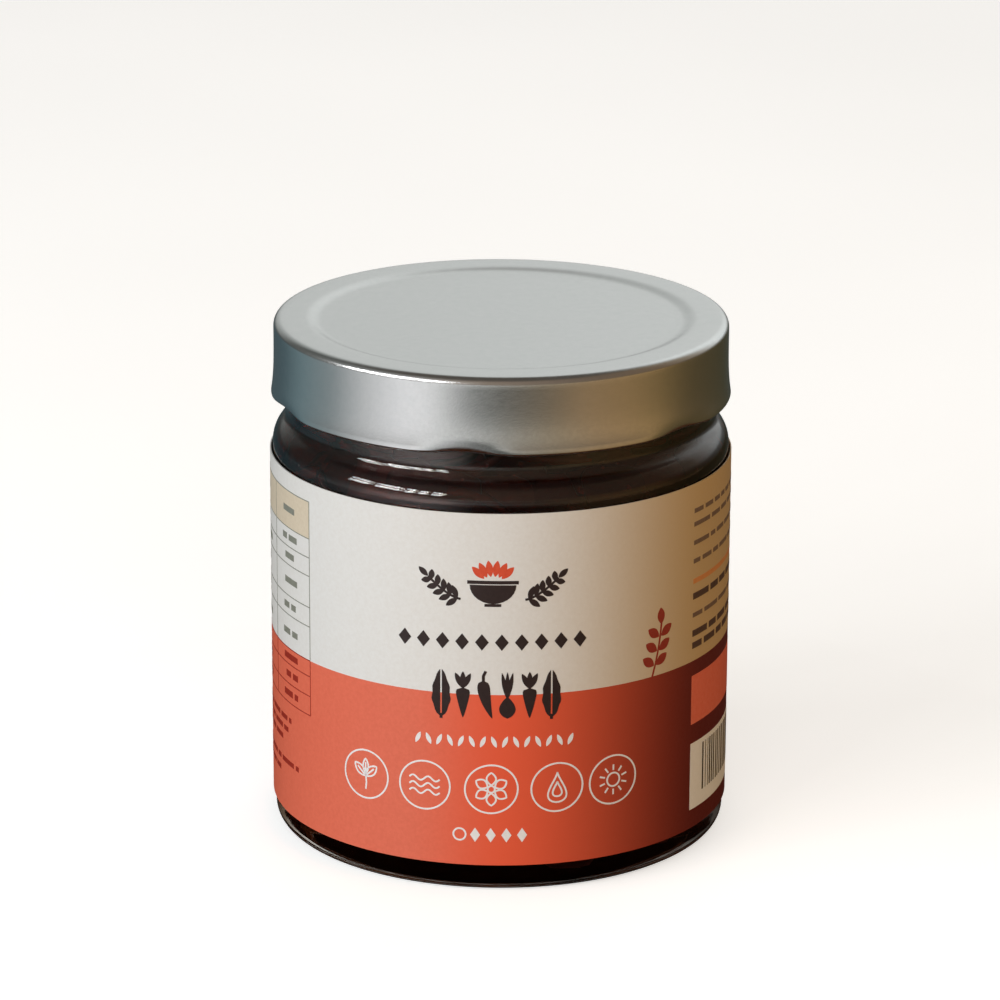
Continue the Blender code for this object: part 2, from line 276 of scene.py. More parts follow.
def srgb(red, green, blue):
    """A screen colour, 0 to 255, as the linear values that a shader takes."""
    linear = []
    for value in (red, green, blue):
        share = value / 255.0
        linear.append(share / 12.92 if share <= 0.04045 else ((share + 0.055) / 1.055) ** 2.4)
    return (*linear, 1.0)


class Nodes:
    """Short ways to add and link the nodes of a material or the world."""

    def __init__(self, tree):
        self.tree = tree

    def add(self, kind, **settings):
        node = self.tree.nodes.new(kind)
        for name, value in settings.items():
            setattr(node, name, value)
        return node

    def link(self, start, end):
        self.tree.links.new(start, end)

    def feed(self, socket, value):
        """Links another node's output to the socket, or sets a plain value there."""
        if isinstance(value, bpy.types.NodeSocket):
            self.link(value, socket)
        else:
            socket.default_value = value

    def put(self, node, inputs):
        for name, value in inputs.items():
            self.feed(node.inputs[name], value)

    def around_and_up(self, vector):
        """Radians round the jar from the front, and how far up the vector points."""
        parts = self.add("ShaderNodeSeparateXYZ")
        self.link(vector, parts.inputs["Vector"])
        to_front = self.math("MULTIPLY", parts.outputs["Y"], -1.0)
        return self.math("ARCTAN2", parts.outputs["X"], to_front), parts.outputs["Z"]

    def math(self, operation, first, second=0.0):
        node = self.add("ShaderNodeMath", operation=operation)
        for socket, value in zip(node.inputs, (first, second)):
            self.feed(socket, value)
        return node.outputs[0]

    def spread(self, value, low, high, new_low=0.0, new_high=1.0):
        node = self.add("ShaderNodeMapRange", interpolation_type="SMOOTHSTEP")
        ends = {"From Min": low, "From Max": high, "To Min": new_low, "To Max": new_high}
        self.put(node, {"Value": value, **ends})
        return node.outputs["Result"]

    def ramp(self, value, stops):
        node = self.add("ShaderNodeValToRGB")
        elements = node.color_ramp.elements
        while len(elements) < len(stops):
            elements.new(0.5)
        for element, (place, _) in zip(elements, stops):
            element.position = place
        for element, (_, colour) in zip(elements, stops):
            element.color = colour
        self.link(value, node.inputs["Fac"])
        return node.outputs["Color"]

    def shades(self, value, first, second, low=0.3, high=0.7):
        """From one screen colour to another as the value goes from low to high."""
        return self.ramp(value, [(low, srgb(*first)), (high, srgb(*second))])

    def mix(self, share, first, second):
        node = self.add("ShaderNodeMix", data_type="RGBA")
        for name, value in (("Factor", share), ("A", first), ("B", second)):
            self.feed([s for s in node.inputs if s.name == name and s.enabled][0], value)
        return [s for s in node.outputs if s.enabled][0]

    def noise(self, scale, detail=3.0, roughness=0.55, stretch=(1.0, 1.0, 1.0)):
        place = self.add("ShaderNodeTexCoord").outputs["Object"]
        mapping = self.add("ShaderNodeMapping")
        self.put(mapping, {"Scale": stretch, "Vector": place})
        node = self.add("ShaderNodeTexNoise")
        self.put(node, {"Scale": scale, "Detail": detail, "Roughness": roughness})
        self.link(mapping.outputs["Vector"], node.inputs["Vector"])
        return node.outputs["Fac"]

    def bump(self, height, distance, strength):
        node = self.add("ShaderNodeBump")
        self.put(node, {"Distance": distance, "Strength": strength, "Height": height})
        return node.outputs["Normal"]


def new_material(name):
    """A material, its nodes and its Principled shader."""
    material = bpy.data.materials.new(name)
    material.use_nodes = True
    shader = material.node_tree.nodes["Principled BSDF"]
    return material, Nodes(material.node_tree), shader


def shares(steps):
    """0 to 1 in this many equal steps, both ends included."""
    return [step / steps for step in range(steps + 1)]


def arc(centre, radius, start_deg, end_deg, steps):
    """Points (r, z) along an arc, both ends included. Angle 0 points outwards and 90 up."""
    points = []
    for share in shares(steps):
        angle = math.radians(start_deg + (end_deg - start_deg) * share)
        points.append((centre[0] + radius * math.cos(angle), centre[1] + radius * math.sin(angle)))
    return points


def on_cylinder(radius, around, z):
    """A point at this radius. Around is in radians from the front, positive towards +X."""
    return Vector((radius * math.sin(around), -radius * math.cos(around), z))


def into_scene(name, data):
    """A new object with this mesh, light or camera."""
    obj = bpy.data.objects.new(name, data)
    bpy.context.scene.collection.objects.link(obj)
    return obj


def new_piece(name, mesh, material):
    """A piece that rides on the jar and takes its finish from this slot."""
    mesh.materials.append(material)
    obj = into_scene(name, mesh)
    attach(obj, "root")
    return obj


def mesh_from(bm, name, sharp_deg=40.0):
    bmesh.ops.recalc_face_normals(bm, faces=bm.faces)
    mesh = bpy.data.meshes.new(name)
    bm.to_mesh(mesh)
    bm.free()
    mesh.shade_smooth()
    mesh.set_sharp_from_angle(angle=math.radians(sharp_deg))
    return mesh


def turn_round(profile, sides, bm, new_vertex):
    """A closed surface of new_vertex(around, r, z) for (r, z) points from axis to axis."""
    rings = []
    for r, z in profile:
        count = sides if r > ON_AXIS else 1
        rings.append([new_vertex(2.0 * math.pi * side / sides, r, z) for side in range(count)])
    for upper, lower in zip(rings, rings[1:]):
        for side in range(sides):
            after = (side + 1) % sides
            if len(upper) == 1:
                bm.faces.new((upper[0], lower[side], lower[after]))
            elif len(lower) == 1:
                bm.faces.new((upper[side], upper[after], lower[0]))
            else:
                bm.faces.new((upper[side], upper[after], lower[after], lower[side]))


def turned_mesh(name, profile, sides, shape=lambda around, r, z: (r, z)):
    """A turned surface. shape(around, r, z) gives the (r, z) that a point moves to."""
    bm = bmesh.new()

    def new_vertex(around, r, z):
        r, z = shape(around, r, z)
        return bm.verts.new(on_cylinder(r, around, z))

    turn_round(profile, sides, bm, new_vertex)
    return mesh_from(bm, name)


def subdivided(points, longest):
    """The same line with more points, so that no stretch is longer than this."""
    result = [points[0]]
    for (r1, z1), (r2, z2) in zip(points, points[1:]):
        pieces = max(1, math.ceil(math.hypot(r2 - r1, z2 - z1) / longest))
        for share in shares(pieces)[1:]:
            result.append((r1 + (r2 - r1) * share, z1 + (z2 - z1) * share))
    return result


def glass_side(wall):
    """The side at this depth in the glass, from the body up to the neck, as (r, z) points."""
    shoulder_centre = (GLASS_RADIUS - SHOULDER_RADIUS, SHOULDER_START)
    across = NECK_RADIUS + NECK_FILLET_RADIUS - shoulder_centre[0]
    rise = math.sqrt((SHOULDER_RADIUS + NECK_FILLET_RADIUS) ** 2 - across**2)
    fillet_centre = (NECK_RADIUS + NECK_FILLET_RADIUS, SHOULDER_START + rise)
    meeting_deg = math.degrees(math.atan2(rise, across))
    shoulder = arc(shoulder_centre, SHOULDER_RADIUS - wall, 0.0, meeting_deg, 12)
    fillet = arc(fillet_centre, NECK_FILLET_RADIUS + wall, 180.0 + meeting_deg, 180.0, 10)
    return shoulder + fillet[1:]


def floor_height(r):
    share = min(r / FLOOR_FLAT_RADIUS, 1.0)
    return FLOOR_AT_WALL + FLOOR_CROWN * (1.0 - share**2)


def inner_wall(grow=0.0):
    """The inside of the glass, from the middle of the floor up to the neck, as (r, z) points."""
    radii = [FLOOR_FLAT_RADIUS * share for share in shares(8)[:-1]]
    floor = [(r, floor_height(r) - grow) for r in radii]
    corner = arc(FLOOR_CORNER_CENTRE, FLOOR_CORNER_RADIUS + grow, -90.0, 0.0, 10)
    return floor + corner + glass_side(GLASS_WALL - grow)


def inner_radius(z):
    """How far from the axis the inside of the glass is at this height."""
    points = inner_wall()
    for (r_low, z_low), (r_high, z_high) in zip(points, points[1:]):
        if z_low <= z <= z_high and z_high > z_low:
            return r_low + (r_high - r_low) * (z - z_low) / (z_high - z_low)
    return points[-1][0]


def glass_material():
    material, nodes, shader = new_material("clear_glass")
    waves = nodes.noise(55.0, 2.0, 0.4, (1.0, 1.0, 0.6))
    nodes.put(shader, {
        "Transmission Weight": 1.0,
        "IOR": 1.5,
        "Base Color": nodes.shades(nodes.noise(30.0), (238, 244, 240), (246, 249, 246)),
        "Roughness": 0.02,
        "Normal": nodes.bump(waves, 0.5 * MM, 0.25),
    })
    return material


def build_glass():
    rim_radius = GLASS_WALL / 2.0
    rim = arc((NECK_RADIUS - rim_radius, MOUTH_TOP - rim_radius), rim_radius, 180.0, 0.0, 10)
    heel = arc((GLASS_RADIUS - HEEL_RADIUS, HEEL_RADIUS), HEEL_RADIUS, 0.0, -90.0, 10)
    push_up = [(CONTACT_RING_INNER * s, PUSH_UP_RISE * (1.0 - s**2)) for s in shares(10)[::-1]]
    profile = inner_wall() + rim + glass_side(0.0)[::-1] + heel + push_up
    profile = subdivided(profile, GLASS_STEP)
    jar = new_piece("glass", turned_mesh("glass", profile, GLASS_SIDES), glass_material())
    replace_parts(jar, "glass_jar")


def panel_step(depth):
    """The step of the lid's top at this depth in the sheet, from the raised rim in to the panel."""
    points = []
    for share in shares(10):
        drop = PANEL_STEP_DROP * (1.0 - math.cos(math.pi * share)) / 2.0
        r = PANEL_STEP_OUTER + (PANEL_STEP_INNER - PANEL_STEP_OUTER) * share
        points.append((r, LID_TOP - depth - drop))
    return points


def lug_weight(around):
    """1 in the middle of a lug, 0 between the lugs."""
    spacing = 360.0 / LUG_COUNT
    offset = (math.degrees(around) - LUG_FIRST_DEG + spacing / 2.0) % spacing - spacing / 2.0
    if abs(offset) >= LUG_HALF_WIDTH_DEG:
        return 0.0
    return math.cos(math.pi / 2.0 * offset / LUG_HALF_WIDTH_DEG) ** 2


def press_lug(around, r, z):
    """Presses the curled edge in and a little up at each lug."""
    height = (z - LID_BOTTOM) / LUG_PRESS_HEIGHT
    if height >= 1.0:
        return r, z
    weight = lug_weight(around) * (1.0 - max(height, 0.0)) ** 2
    return r - LUG_PRESS_IN * weight, z + LUG_PRESS_UP * weight


def lid_material():
    material, nodes, shader = new_material("satin_tinplate")
    nodes.put(shader, {
        "Metallic": 1.0,
        "Base Color": nodes.shades(nodes.noise(700.0, 4.0), (229, 230, 229), (233, 233, 232)),
        "Roughness": nodes.spread(nodes.noise(1600.0, 2.0), 0.3, 0.7, 0.23, 0.27),
        "Normal": nodes.bump(nodes.noise(3200.0, 2.0), 0.02 * MM, 0.35),
    })
    return material


def build_lid():
    panel_top = LID_TOP - PANEL_STEP_DROP
    corner = (LID_RADIUS - SKIRT_LEAN - LID_CORNER_RADIUS, LID_TOP - LID_CORNER_RADIUS)
    skirt_top = LID_TOP - LID_CORNER_RADIUS
    curl_top = LID_BOTTOM + CURL_HEIGHT
    edge_centre = (LID_RADIUS - CURL_EDGE_RADIUS, LID_BOTTOM + CURL_EDGE_RADIUS)
    outer = [(0.0, panel_top)] + panel_step(0.0)[::-1]
    outer += arc(corner, LID_CORNER_RADIUS, 90.0, 0.0, 12)
    for share in shares(8)[1:-1]:
        height = skirt_top + (LID_BOTTOM + CURL_EDGE_RADIUS - skirt_top) * share
        outer.append((LID_RADIUS - SKIRT_LEAN * (1.0 - share**4), height))
    edge = arc(edge_centre, CURL_EDGE_RADIUS, 0.0, -90.0, 8)
    curl = [(LID_RADIUS - CURL_DEPTH, LID_BOTTOM), (LID_RADIUS - CURL_DEPTH, curl_top)]
    inner = [(LID_RADIUS - LID_SHEET, curl_top + LID_SHEET)]
    inner += arc(corner, LID_CORNER_RADIUS - LID_SHEET, 0.0, 90.0, 12)
    inner += panel_step(LID_SHEET) + [(0.0, panel_top - LID_SHEET)]
    profile = subdivided(outer + edge, LID_STEP) + curl + inner
    mesh = turned_mesh("twist_lid", profile, LID_SIDES, press_lug)
    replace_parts(new_piece("twist_lid", mesh, lid_material()), "lid")


def paper_material(name, light, dark):
    """Coated paper: two shades of the print, fine fibre and a slight gloss."""
    material, nodes, shader = new_material(name)
    nodes.put(shader, {
        "Base Color": nodes.shades(nodes.noise(1400.0, 4.0, 0.6), dark, light, 0.35, 0.65),
        "Roughness": nodes.spread(nodes.noise(1500.0), 0.3, 0.7, 0.42, 0.52),
        "Normal": nodes.bump(nodes.noise(1800.0), 0.02 * MM, 0.3),
    })
    return material


def painted_light_towards(material, colour, start_deg, end_deg):
    """Painted light on a field: its colour changes to this colour between these places round the
    jar, as painted shade or a painted sheen.
    """
    nodes = Nodes(material.node_tree)
    shader = material.node_tree.nodes["Principled BSDF"]
    around, _ = nodes.around_and_up(nodes.add("ShaderNodeTexCoord").outputs["Object"])
    share = nodes.spread(around, math.radians(start_deg), math.radians(end_deg))
    before = shader.inputs["Base Color"].links[0].from_socket
    nodes.link(nodes.mix(share, before, colour), shader.inputs["Base Color"])


def build_label():
    """The wrap: a thin sheet, open at the back, cream above the divide and red below."""
    inside = LABEL_RADIUS - LABEL_SHEET
    heights = (LABEL_TOP, LABEL_DIVIDE, LABEL_BOTTOM)
    outer = subdivided([(LABEL_RADIUS, z) for z in heights], LABEL_STEP)
    loop = outer + [(inside, z) for _, z in outer[::-1]]
    half_open = math.radians(180.0 - LABEL_GAP_DEG / 2.0)
    bm = bmesh.new()
    sections = []
    for side in range(LABEL_SIDES + 1):
        around = half_open * (2.0 * side / LABEL_SIDES - 1.0)
        sections.append([bm.verts.new(on_cylinder(r, around, z)) for r, z in loop])
    for first, second in zip(sections, sections[1:]):
        for index in range(len(loop)):
            after = (index + 1) % len(loop)
            bm.faces.new((first[index], first[after], second[after], second[index]))
    for section in (sections[0], sections[-1]):
        for index in range(len(outer) - 1):
            below = (section[index], section[index + 1])
            bm.faces.new((*below, section[-2 - index], section[-1 - index]))
    mesh = mesh_from(bm, "wrap_label")
    cream = paper_material("cream_paper_painted_shade", (231, 229, 224), (227, 224, 218))
    red = paper_material("red_print_painted_sheen_and_shade", (232, 113, 85), (226, 107, 79))
    # Painted shade: the cream turns darker and warmer towards the jar's right side, where the light
    # is dim and warm.
    painted_light_towards(cream, srgb(206, 176, 130), -2.0, 62.0)
    # Painted sheen and shade: the red keeps its paler colour on the left, where the window's gloss
    # lies, deepens by the front and turns dark brown towards the right side, where the light is
    # dim.
    painted_light_towards(red, srgb(238, 94, 60), -24.0, 2.0)
    painted_light_towards(red, srgb(104, 38, 32), -2.0, 62.0)
    wrap = new_piece("wrap_label", mesh, cream)
    mesh.materials.append(red)
    for face in mesh.polygons:
        face.material_index = 1 if face.center.z < LABEL_DIVIDE else 0
    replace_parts(wrap, "label")


def turned_flat(x, y, turn):
    return (x * math.cos(turn) - y * math.sin(turn), x * math.sin(turn) + y * math.cos(turn))


def rectangle(width, height):
    """A bar round its middle. Every shape is a list of flat outlines of (x, y) points."""
    across, up = width / 2.0, height / 2.0
    return [[(-across, -up), (across, -up), (across, up), (-across, up)]]


def diamond(width, height):
    return [[(-width / 2.0, 0.0), (0.0, -height / 2.0), (width / 2.0, 0.0), (0.0, height / 2.0)]]


def upright(length, half_width, steps=14):
    """A shape that stands on the origin, as wide at each share of its length as half_width says."""
    right = [(half_width(share), length * share) for share in shares(steps)]
    left = [(-x, y) for x, y in right[::-1] if x > 1e-6]
    return [right + left]


def leaf(length, width):
    return upright(length, lambda share: width / 2.0 * abs(math.sin(math.pi * share)) ** 0.8)


def moved(shape, x=0.0, y=0.0, turn_deg=0.0):
    """The same shape turned about the origin and then moved."""
    result = []
    for outline in shape:
        turned = [turned_flat(*point, math.radians(turn_deg)) for point in outline]
        result.append([(px + x, py + y) for px, py in turned])
    return result


def pen_line(points, width=None, closed=False):
    """A drawn line along these points, as a strip of four-sided outlines."""
    half = (width or PEN_LINE) / 2.0
    count = len(points)
    sides = []
    for index in range(count):
        before = points[index - 1] if closed or index else points[index]
        after = points[(index + 1) % count] if closed or index < count - 1 else points[index]
        along = Vector((after[0] - before[0], after[1] - before[1])).normalized()
        x, y = points[index]
        aside, up = along.y * half, along.x * half
        sides.append(((x - aside, y + up), (x + aside, y - up)))
    pairs = list(zip(sides, sides[1:] + sides[:1]))
    return [[start[0], start[1], end[1], end[0]] for start, end in pairs[:None if closed else -1]]


def pen_ring(radius, wobble=0.0):
    points = []
    for step in range(48):
        angle = 2.0 * math.pi * step / 48
        r = radius * (1.0 + wobble * math.sin(2.0 * angle + 1.0))
        points.append((r * math.cos(angle), r * math.sin(angle)))
    return pen_line(points, closed=True)


def pen_leaf(length, width):
    """The outline of a leaf with its middle vein."""
    outline = pen_line(leaf(length, width)[0], closed=True)
    return outline + pen_line([(0.0, 0.1 * length), (0.0, 0.75 * length)])


def sprout_motif():
    shape = pen_line([(0.0, -2.7 * MM), (0.15 * MM, -1.4 * MM), (0.0, -0.2 * MM)])
    shape += moved(pen_leaf(3.0 * MM, 1.5 * MM), 0.0, -0.3 * MM, 48.0)
    shape += moved(pen_leaf(3.0 * MM, 1.5 * MM), 0.0, -0.3 * MM, -48.0)
    return shape + moved(pen_leaf(2.7 * MM, 1.1 * MM), 0.0, 0.1 * MM)


def sun_motif():
    shape = pen_ring(1.2 * MM)
    for ray in range(10):
        shape += moved(pen_line([(0.0, 1.7 * MM), (0.0, 2.7 * MM)]), turn_deg=36.0 * ray)
    return shape


def flower_motif():
    shape = pen_ring(0.6 * MM)
    for petal in range(6):
        turn = 60.0 * petal
        start = turned_flat(0.0, 0.75 * MM, math.radians(turn))
        shape += moved(pen_line(leaf(2.2 * MM, 1.6 * MM)[0], closed=True), *start, turn)
    return shape


def wave_motif():
    shape = []
    for row in (-1.2, 0.0, 1.2):
        places = [(share - 0.5) * 5.4 for share in shares(24)]
        shape += pen_line([(x * MM, (row + 0.4 * math.sin(2.33 * x)) * MM) for x in places])
    return shape


def drop_motif():
    shape = []
    for size in (1.0, 0.5):
        points = []
        for step in range(28):
            angle = 2.0 * math.pi * (step + 0.5) / 28
            x = 2.5 * size * math.sin(angle) * math.sin(angle / 2.0) ** 2
            y = 2.7 * size * math.cos(angle) - 0.6 * (1.0 - size)
            points.append((x * MM, y * MM))
        shape += pen_line(points, closed=True)
    return shape


def leaf_shape(height):
    """A tall leaf in two halves, with the midrib left bare."""
    shape = []
    for side in (-1.0, 1.0):
        edge = []
        for share in shares(16):
            ripple = 1.0 + 0.07 * math.sin(22.0 * share)
            reach = 1.45 * math.sin(math.pi * share**0.85) ** 0.75 * ripple
            edge.append((side * (0.14 + max(reach, 0.0)) * MM, height * share))
        shape.append(edge + [(side * 0.14 * MM, height * 0.98), (side * 0.14 * MM, height * 0.02)])
    return shape + moved(rectangle(0.5 * MM, 0.9 * MM), 0.0, 0.1 * MM)


def radish_shape(height):
    root = 0.64 * height
    shape = upright(root, lambda share: 1.45 * MM * share**0.8 * max(0.0, 1.0 - share**12) ** 0.5)
    for turn in (-26.0, 0.0, 26.0):
        shape += moved(leaf(height - root, 1.0 * MM), 0.0, root - 0.15 * MM, turn)
    return shape


def onion_shape(height):
    def half_width(share):
        return 1.5 * MM * math.sin(math.pi * share) ** 0.7 * (1.15 - 0.5 * share)

    bulb = 0.46 * height
    shape = upright(bulb, half_width)
    for turn in (-11.0, 0.0, 11.0):
        shape += moved(leaf((height - bulb) * 1.08, 0.8 * MM), 0.0, bulb - 0.5 * MM, turn)
    return shape


def chilli_shape(height):
    pod = 0.8 * height
    sides = ([], [])
    for share in shares(16):
        half = 1.15 * MM * math.sin(math.pi * 0.5 * share) ** 0.8 * (1.0 - share**10) ** 0.5
        bend = 1.5 * MM * (1.0 - share) ** 2 - 0.3 * MM
        sides[0].append((bend + half + 0.02 * MM, pod * share))
        sides[1].append((bend - half - 0.02 * MM, pod * share))
    shape = [sides[0] + sides[1][::-1]]
    stalk = [(-0.3 * MM, pod - 0.2 * MM), (-0.3 * MM, pod + 0.8 * MM), (0.1 * MM, height)]
    return shape + pen_line(stalk, 0.5 * MM)


def emblem_shapes():
    """A bowl with a red heap in it, and a leafy branch on each side."""
    bowl = []
    for share in shares(14):
        angle = math.pi * (1.0 + share)
        bowl.append((3.9 * MM * math.cos(angle), 3.3 * MM * math.sin(angle)))
    dark = [bowl] + moved(rectangle(8.6 * MM, 0.6 * MM), 0.0, 0.45 * MM)
    dark += moved(rectangle(2.8 * MM, 0.5 * MM), 0.0, -3.55 * MM)
    red = []
    for turn in (-60.0, -36.0, -12.0, 12.0, 36.0, 60.0):
        start = turned_flat(0.0, 0.7 * MM, math.radians(turn))
        red += moved(leaf(2.9 * MM, 1.2 * MM), start[0] * 2.4, start[1] + 0.75 * MM, turn * 0.75)
    for side in (-1.0, 1.0):
        stem = []
        for share in shares(10):
            stem.append((side * (5.4 + 5.6 * share) * MM, (-2.6 + 3.6 * share**1.5) * MM))
        dark += pen_line(stem, 0.4 * MM)
        for step in (1, 3, 5, 7, 9):
            rise = stem[step + 1][1] - stem[step - 1][1]
            run = abs(stem[step + 1][0] - stem[step - 1][0])
            stem_deg = math.degrees(math.atan2(rise, run))
            for swing in (-52.0, 52.0):
                turn = side * (stem_deg + swing - 90.0)
                dark += moved(leaf((2.5 - 0.08 * step) * MM, 1.05 * MM), *stem[step], turn)
        dark += moved(leaf(2.2 * MM, 1.0 * MM), *stem[-1], -side * 48.0)
    return dark, red


class Print:
    """Flat shapes on the label, kept by ink until each ink is wrapped round the jar."""

    def __init__(self):
        self.inks = {}
        self.draw = random.Random(PRINT_SEED)

    def put(self, ink, shape, around_deg, z):
        across = LABEL_RADIUS * math.radians(around_deg)
        self.inks.setdefault(ink, []).append(moved(shape, across, z))

    def field(self, ink, from_deg, to_deg, low, high):
        width = LABEL_RADIUS * math.radians(to_deg - from_deg)
        self.put(ink, rectangle(width, high - low), (from_deg + to_deg) / 2.0, (low + high) / 2.0)

    def row(self, ink, shapes, from_deg, to_deg, z):
        for index, shape in enumerate(shapes):
            share = index / (len(shapes) - 1)
            self.put(ink, shape, from_deg + (to_deg - from_deg) * share, z)

    def dashes(self, ink, from_deg, to_deg, z, height):
        """A line of small bars of uneven length."""
        around = from_deg
        while around < to_deg - 1.0:
            end = min(around + self.draw.uniform(2.5, 8.0), to_deg)
            self.field(ink, around, end, z - height / 2.0, z + height / 2.0)
            around = end + 1.2


def print_front(art):
    """The middle of the front: emblem, two rows of small marks, vegetables and ringed drawings."""
    dark, red = emblem_shapes()
    art.put("dark", dark, ART_CENTRE_DEG, EMBLEM_Z)
    art.put("red", red, ART_CENTRE_DEG, EMBLEM_Z)
    art.row("dark", [diamond(2.3 * MM, 2.9 * MM)] * 10, *DIAMOND_ROW_DEG, DIAMOND_ROW_Z)
    vegetables = (leaf_shape, radish_shape, chilli_shape, onion_shape, radish_shape, leaf_shape)
    shapes = [make(VEGETABLE_HEIGHT) for make in vegetables]
    art.row("dark", shapes, *VEGETABLE_ROW_DEG, VEGETABLE_ROW_Z)
    seeds = []
    for index in range(15):
        seed = moved(leaf(2.2 * MM, 0.75 * MM), 0.0, -1.1 * MM)
        seeds.append(moved(seed, turn_deg=24.0 if index % 2 else -24.0))
    art.row("white", seeds, *SEED_ROW_DEG, SEED_ROW_Z)
    motifs = (sprout_motif, wave_motif, flower_motif, drop_motif, sun_motif)
    for around, motif in zip(RING_ROW_DEG, motifs):
        art.put("white", pen_ring(RING_RADIUS, 0.02) + motif(), around, RING_ROW_Z)
    weight = [pen_ring(1.05 * MM)] + [diamond(1.7 * MM, 2.6 * MM)] * 4
    art.row("white", weight, *WEIGHT_ROW_DEG, WEIGHT_ROW_Z)


def print_table(art):
    """The ruled table on the left, with small bars in its cells and lines of bars under it."""
    rows = [z * MM for z in TABLE_ROWS_MM]
    art.field("beige", TABLE_LEFT_DEG, TABLE_RIGHT_DEG, rows[1], rows[0])
    half = TABLE_LINE / 2.0
    half_deg = math.degrees(half / LABEL_RADIUS)
    for z in rows:
        ink = "grey" if z > LABEL_DIVIDE else "maroon"
        art.field(ink, TABLE_LEFT_DEG, TABLE_RIGHT_DEG, z - half, z + half)
    for around in (TABLE_LEFT_DEG, TABLE_COLUMN_DEG, TABLE_RIGHT_DEG):
        art.field("grey", around - half_deg, around + half_deg, LABEL_DIVIDE + half, rows[0])
        art.field("maroon", around - half_deg, around + half_deg, rows[-1], LABEL_DIVIDE - half)
    for high, low in zip(rows, rows[1:]):
        ink = "grey" if low > LABEL_DIVIDE - MM else "maroon"
        middle = (high + low) / 2.0
        value_start = TABLE_VALUE_DEG[0] - art.draw.uniform(0.0, 2.0)
        art.dashes(ink, value_start, TABLE_VALUE_DEG[1], middle, TABLE_BAR)
        name_end = TABLE_COLUMN_DEG - art.draw.uniform(2.0, 12.0)
        art.dashes(ink, TABLE_LEFT_DEG + 2.0, name_end, middle, TABLE_BAR)
    for z, end in zip(TABLE_NOTES_MM, TABLE_NOTE_ENDS_DEG):
        art.dashes("maroon", TABLE_LEFT_DEG, end, z * MM, NOTE_BAR)


def print_side(art):
    """The right side: lines of bars, a rule, a sprig, a paler field and a box of upright bars."""
    for index, z in enumerate(SIDE_LINES_MM):
        ink, height = ("dim", BOLD_BAR) if index in BOLD_LINES else ("brown", THIN_BAR)
        end = SIDE_TEXT_DEG[1] - art.draw.uniform(0.0, 12.0)
        art.dashes(ink, SIDE_TEXT_DEG[0], end, z * MM, height)
    art.field("orange", *SIDE_TEXT_DEG, RULE_Z - RULE_HEIGHT / 2.0, RULE_Z + RULE_HEIGHT / 2.0)
    art.field("pale_red", *SIDE_TEXT_DEG, *(z * MM for z in PALE_BOX_MM))
    low, high = (z * MM for z in CODE_BOX_MM)
    art.field("white_field", *CODE_BOX_DEG, low, high)
    around = CODE_BARS_DEG[0]
    while around < CODE_BARS_DEG[1]:
        width = art.draw.choice(CODE_BAR_WIDTHS_DEG)
        art.field("dark", around, around + width, low + CODE_BAR_FOOT, high - CODE_BAR_HEAD)
        around += width + art.draw.choice(CODE_BAR_GAPS_DEG)
    stem = []
    for share in shares(8):
        stem.append(((-3.2 + 3.6 * share - 1.4 * share**2) * MM, 10.0 * share * MM))
    sprig = pen_line(stem, 0.4 * MM)
    sprig_leaf = leaf(3.0 * MM, 1.7 * MM)
    for step in (2, 4, 6):
        x, y = stem[step]
        for side in (-1.0, 1.0):
            sprig += moved(sprig_leaf, x + side * 0.25 * MM, y, -side * 56.0)
    x, y = stem[-1]
    sprig += moved(sprig_leaf, x, y - 0.4 * MM, 4.0)
    art.put("berry", sprig, SPRIG_DEG, LABEL_DIVIDE - 0.6 * MM)


def wrapped_mesh(name, shapes, proud):
    """The flat shapes as thin closed solids, cut into narrow strips and wrapped round the label."""
    bm = bmesh.new()
    for shape in shapes:
        corners = []
        for outline in shape:
            verts = [bm.verts.new((x, y, -PRINT_SUNK)) for x, y in outline]
            bm.faces.new(verts)
            corners += verts
        bmesh.ops.remove_doubles(bm, verts=corners, dist=1e-6)
    bmesh.ops.triangulate(bm, faces=bm.faces[:])
    across = [vertex.co.x for vertex in bm.verts]
    for step in range(math.ceil(min(across) / PRINT_STEP), math.ceil(max(across) / PRINT_STEP)):
        cut = bm.verts[:] + bm.edges[:] + bm.faces[:]
        place = (step * PRINT_STEP, 0.0, 0.0)
        bmesh.ops.bisect_plane(bm, geom=cut, dist=1e-7, plane_co=place, plane_no=(1.0, 0.0, 0.0))
    raised = bmesh.ops.extrude_face_region(bm, geom=bm.faces[:], use_keep_orig=True)["geom"]
    for item in raised:
        if isinstance(item, bmesh.types.BMVert):
            item.co.z = proud
    for vertex in bm.verts:
        x, z, height = vertex.co
        vertex.co = on_cylinder(LABEL_RADIUS + height, x / LABEL_RADIUS, z)
    return mesh_from(bm, name)


def build_print():
    art = Print()
    print_front(art)
    print_table(art)
    print_side(art)
    fields = (
        ("beige", (222, 207, 182), (216, 200, 174)),
        ("white_field", (250, 249, 246), (246, 245, 242)),
        ("pale_red", (244, 124, 98), (240, 116, 90)),
        ("orange", (222, 150, 92), (216, 142, 84)),
        ("red", (222, 84, 52), (214, 76, 46)),
        ("berry", (160, 58, 44), (148, 50, 38)),
    )
    marks = (
        ("dark", (52, 39, 37), (46, 34, 32)),
        ("dim", (92, 72, 62), (84, 64, 54)),
        ("brown", (128, 106, 90), (118, 96, 80)),
        ("white", (242, 240, 238), (236, 233, 230)),
        ("grey", (140, 141, 128), (130, 131, 119)),
        ("maroon", (162, 50, 34), (152, 44, 30)),
    )
    for proud, inks in ((FIELD_PROUD, fields), (MARK_PROUD, marks)):
        for ink, light, dark in inks:
            mesh = wrapped_mesh(f"print_{ink}", art.inks[ink], proud)
            material = paper_material(f"{ink}_ink", light, dark)
            new_piece(f"print_{ink}", mesh, material)


